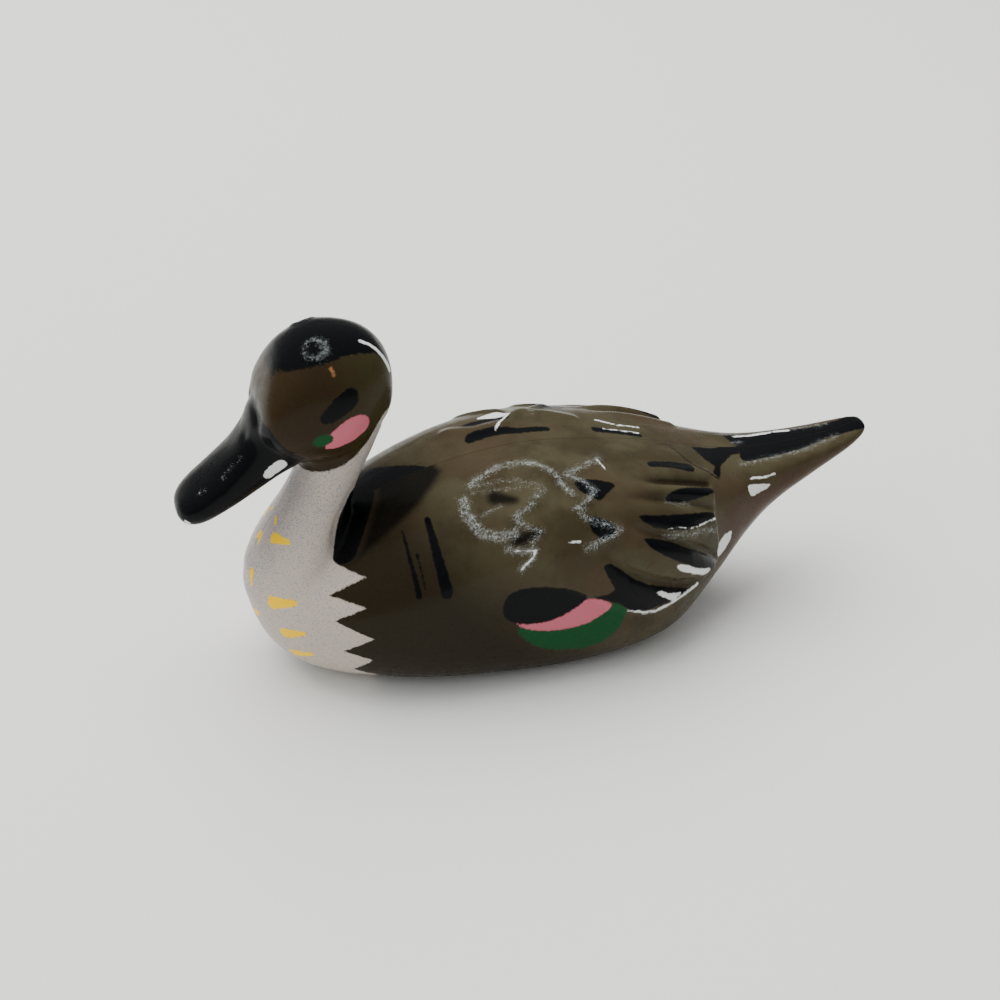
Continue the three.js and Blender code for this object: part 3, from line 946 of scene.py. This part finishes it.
SILVER_COVER = (-0.05, 0.4)  # silver goes from nothing to full cover between these
THICK_DAB = (-0.12, 0.12)  # a dab rises to its full height between these
SILVER_MOST = 0.55  # the middle of a stroke is no thicker than this
PATCH_LEVEL, PATCH_GAIN = 0.54, 1.8
SPECK_LEVEL, SPECK_GAIN = 0.62, 6.5
enamel = {name: colour(code) for name, code in ENAMEL.items()}
print(len(enamel), "enamels over", len(PATTERNS), "patterns")


# %% One coat over another
def coat_over(tree, under, over, measure, start, end, strength=1.0):
    """Lay one coat on another. It covers more and more as the measure goes from start to end."""
    cover = node(tree, "ShaderNodeMapRange", {
        "Value": measure, "From Min": start, "From Max": end, "To Max": strength,
    }, interpolation_type="SMOOTHSTEP").outputs["Result"]
    mixed = node(tree, "ShaderNodeMix", {"Factor": cover, "A": under, "B": over}, data_type="RGBA")
    return mixed.outputs["Result"]


def read_layers(tree, bristles):
    """The layers stored on the mesh, and the same layers with edges that the bristles leave ragged."""
    ragged = node(tree, "ShaderNodeMath", {0: bristles, 1: FRAY, 2: -FRAY / 2}, operation="MULTIPLY_ADD")
    layers, frayed = {}, {}
    for name in COLOURS + OVERLAYS:
        layers[name] = node(tree, "ShaderNodeAttribute", attribute_name=name).outputs["Fac"]
        frayed[name] = node(
            tree, "ShaderNodeMath", {0: layers[name], 1: ragged.outputs[0]}, operation="ADD"
        ).outputs[0]
    return layers, frayed


# %% Ground, head and breast
def ground_coats(tree, axes, pattern, layers):
    """The olive ground: mottled, with painted shade low down and in the feather grooves, and dark brown under
    the tail.
    """
    coat = coat_over(tree, enamel["ground_dark"], enamel["ground"], pattern["cloud"], 0.38, 0.62)
    coat = coat_over(tree, coat, enamel["ground_warm"], pattern["warmth"], 0.42, 0.75)
    rise = node(tree, "ShaderNodeMath", {0: axes["Z"], 1: axes["X"]}, operation="SUBTRACT").outputs[0]
    # Painted shade: the ground darkens towards the bottom and the breast, where less light falls.
    coat = coat_over(tree, coat, enamel["painted_low_shade"], rise, SHADE_STARTS * MM, FULL_SHADE_BELOW * MM)
    # Painted shade: the colour darkens where the feather grooves are deepest.
    coat = coat_over(tree, coat, enamel["painted_groove_shade"], layers["painted_groove_shade"], 0, 0.55, 0.75)
    return coat_over(tree, coat, enamel["tail_brown"], layers["tail_brown"], -3, 1.5)


def head_and_breast(tree, coat, axes, across, pattern, frayed):
    """A brown head, olive towards the nape, and a white breast with grey overspray down its middle."""
    head = coat_over(
        tree, enamel["head_brown"], enamel["head_olive"], axes["X"], OLIVE_FROM * MM, OLIVE_BEHIND * MM)
    coat = coat_over(tree, coat, head, frayed["head_brown"], -HEAD_EDGE, HEAD_EDGE)
    middle = node(tree, "ShaderNodeMapRange", {
        "Value": across, "From Min": GREY_HALF_WIDTH * MM, "From Max": 0, "To Max": GREY_GAIN,
    }, interpolation_type="SMOOTHSTEP").outputs["Result"]
    spray = node(tree, "ShaderNodeMath", {0: pattern["overspray"], 1: middle}, operation="ADD").outputs[0]
    breast = coat_over(tree, enamel["breast_white"], enamel["breast_grey"], spray, 0.56, 0.62)
    return coat_over(tree, coat, breast, frayed["breast_white"], -BREAST_EDGE, BREAST_EDGE)


# %% Dry brush and thickness
def dry_brush(tree, pattern, silver):
    """The silver: thin at most, missed in patches, and broken into specks."""
    thin = node(tree, "ShaderNodeMath", {0: silver, 1: SILVER_MOST}, operation="MINIMUM").outputs[0]
    patchy = node(tree, "ShaderNodeMath", {
        0: pattern["bristles"], 1: PATCH_GAIN, 2: -PATCH_LEVEL * PATCH_GAIN,
    }, operation="MULTIPLY_ADD").outputs[0]
    broken = node(tree, "ShaderNodeMath", {
        0: pattern["specks"], 1: SPECK_GAIN, 2: -SPECK_LEVEL * SPECK_GAIN,
    }, operation="MULTIPLY_ADD").outputs[0]
    both = node(tree, "ShaderNodeMath", {0: patchy, 1: broken}, operation="ADD").outputs[0]
    return node(tree, "ShaderNodeMath", {0: thin, 1: both}, operation="ADD").outputs[0]


def thickness(tree, pattern, dry, frayed):
    """Height of the paint: the gloss isn't quite level, and silver, white and yellow stand up."""
    level = node(tree, "ShaderNodeMath", {0: pattern["orange_peel"], 1: 0.5}, operation="MULTIPLY").outputs[0]
    dabs = [(dry, SILVER_COVER, 0.35), (frayed["white"], THICK_DAB, 0.5),
        (frayed["yellow"], THICK_DAB, 0.5)]
    for measure, (start, end), height in dabs:
        raised = node(tree, "ShaderNodeMapRange", {
            "Value": measure, "From Min": start, "From Max": end, "To Max": height,
        }, interpolation_type="SMOOTHSTEP").outputs["Result"]
        level = node(tree, "ShaderNodeMath", {0: level, 1: raised}, operation="ADD").outputs[0]
    return level


# %% The lacquered enamel
GLOSS = {
    "IOR": 1.42,
    "Specular IOR Level": 0.06,
    "Coat Weight": 0.1,
    "Coat IOR": 1.4,
    "Coat Roughness": 0.1,
}


def lacquer():
    """Painted plastic under clear gloss."""
    material, tree, shader = new_material("gloss_lacquer_over_enamel")
    place = node(tree, "ShaderNodeTexCoord").outputs["Object"]
    axes = node(tree, "ShaderNodeSeparateXYZ", {"Vector": place}).outputs
    across = node(tree, "ShaderNodeMath", {0: axes["Y"]}, operation="ABSOLUTE").outputs[0]
    pattern = {}
    for name, (size, detail, roughness) in PATTERNS.items():
        pattern[name] = node(tree, "ShaderNodeTexNoise", {
            "Vector": place, "Scale": 1 / (size * MM), "Detail": detail, "Roughness": roughness,
        }).outputs["Fac"]
    layers, frayed = read_layers(tree, pattern["bristles"])
    coat = ground_coats(tree, axes, pattern, layers)
    coat = head_and_breast(tree, coat, axes, across, pattern, frayed)
    coat = coat_over(tree, coat, enamel["mantle"], layers["mantle"], 0, 1.5, 0.94)
    for name in ("black", "green", "pink", "chestnut"):
        coat = coat_over(tree, coat, enamel[name], frayed[name], -EDGES[name], EDGES[name])
    dry = dry_brush(tree, pattern, layers["silver"])
    coat = coat_over(tree, coat, enamel["silver"], dry, *SILVER_COVER, 0.88)
    for name in ("white", "yellow"):
        coat = coat_over(tree, coat, enamel[name], frayed[name], -EDGES[name], EDGES[name])
    coat = coat_over(tree, coat, enamel["crack"], layers["crack"], -0.08, 0.1)
    coat = coat_over(tree, coat, enamel["crack"], across, SEAM_LINE * 1.6 * MM, SEAM_LINE * 0.4 * MM, 0.7)
    tree.links.new(coat, shader.inputs["Base Color"])
    satin = node(tree, "ShaderNodeMapRange", {
        "Value": pattern["satin"], "From Min": 0.2, "From Max": 0.8, "To Min": 0.22, "To Max": 0.4,
    }, interpolation_type="SMOOTHSTEP")
    tree.links.new(satin.outputs["Result"], shader.inputs["Roughness"])
    level = thickness(tree, pattern, dry, frayed)
    bump = node(tree, "ShaderNodeBump", {"Height": level, "Strength": 0.35, "Distance": 0.08 * MM})
    tree.links.new(bump.outputs["Normal"], shader.inputs["Normal"])
    for name, value in GLOSS.items():
        shader.inputs[name].default_value = value
    return material


# %% The bare plastic
def bare_plastic():
    """The unpainted inside of the mould: pale polystyrene with a faint flow pattern."""
    material, tree, shader = new_material("bare_moulded_polystyrene")
    place = node(tree, "ShaderNodeTexCoord").outputs["Object"]
    flow = node(tree, "ShaderNodeTexNoise", {"Vector": place, "Scale": 1 / (6 * MM), "Detail": 3})
    tone = node(tree, "ShaderNodeMix", {
        "Factor": flow.outputs["Fac"], "A": colour("#6e6a62"), "B": colour("#7d776c"),
    }, data_type="RGBA")
    tree.links.new(tone.outputs["Result"], shader.inputs["Base Color"])
    shader.inputs["Roughness"].default_value = 0.45
    return material


# %% Lacquer outside, bare plastic inside
painted = lacquer()
plastic = bare_plastic()
for piece in (left, right):
    piece.data.materials.clear()
    piece.data.materials.append(painted)
    piece.data.materials.append(plastic)
    for face in piece.data.polygons:
        off_the_skin = outside.find_nearest(face.center)[3]
        face.material_index = int(off_the_skin > 0.1 * MM)
    print(piece.name, "bare faces:", sum(face.material_index for face in piece.data.polygons))

# %% [markdown]
# ## The metal parts
# The ballast bar, its two screws and the line pin keep their CAD meshes, which are as plain as the real
# ones. The bar is plated steel that has gone dull. The screws are zinc plated steel, and the pin is brass
# wire. All three are metals on the shader; what sets them apart is colour, roughness and the size of the
# pattern in the roughness.


# %% One recipe for metal, and three metals
def metal(name, dark, light, grain_mm, dull, bright, dent_mm):
    """Bare metal: two tones in patches, with patchy roughness and a shallow relief."""
    material, tree, shader = new_material(name)
    place = node(tree, "ShaderNodeTexCoord").outputs["Object"]
    grain = node(tree, "ShaderNodeTexNoise", {
        "Vector": place, "Scale": 1 / (grain_mm * MM), "Detail": 4,
    }).outputs["Fac"]
    tone = node(tree, "ShaderNodeMix", {
        "Factor": grain, "A": colour(dark), "B": colour(light),
    }, data_type="RGBA")
    tree.links.new(tone.outputs["Result"], shader.inputs["Base Color"])
    shine = node(tree, "ShaderNodeMapRange", {"Value": grain, "To Min": dull, "To Max": bright})
    tree.links.new(shine.outputs["Result"], shader.inputs["Roughness"])
    bump = node(tree, "ShaderNodeBump", {"Height": grain, "Strength": 0.5, "Distance": dent_mm * MM})
    tree.links.new(bump.outputs["Normal"], shader.inputs["Normal"])
    shader.inputs["Metallic"].default_value = 1
    return material


METALS = {
    "ballast_bar": metal("dulled_plated_steel", "#4d5057", "#74777c", 0.8, 0.75, 0.5, 0.12),
    "ballast_screw_front": metal("zinc_plated_steel", "#9a9da0", "#b9bcbd", 0.5, 0.4, 0.25, 0.02),
    "line_pin": metal("brass_wire", "#a8843c", "#cfae62", 0.3, 0.4, 0.2, 0.01),
}
METALS["ballast_screw_rear"] = METALS["ballast_screw_front"]
for name, finish in METALS.items():
    for slot in bpy.data.objects[name].material_slots:
        slot.material = finish
    print(name, "is now", finish.name)

# %% [markdown]
# ## Handing the pieces to the frame
# Each painted half takes the place of its CAD shell, and both ride on the one body, as the duck is
# cemented shut.

# %% Replace the CAD shells
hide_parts("left_shell")
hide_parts("right_shell")
for piece in (left, right):
    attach(piece, "root")

# %% The last lines
print("end of the scene script")
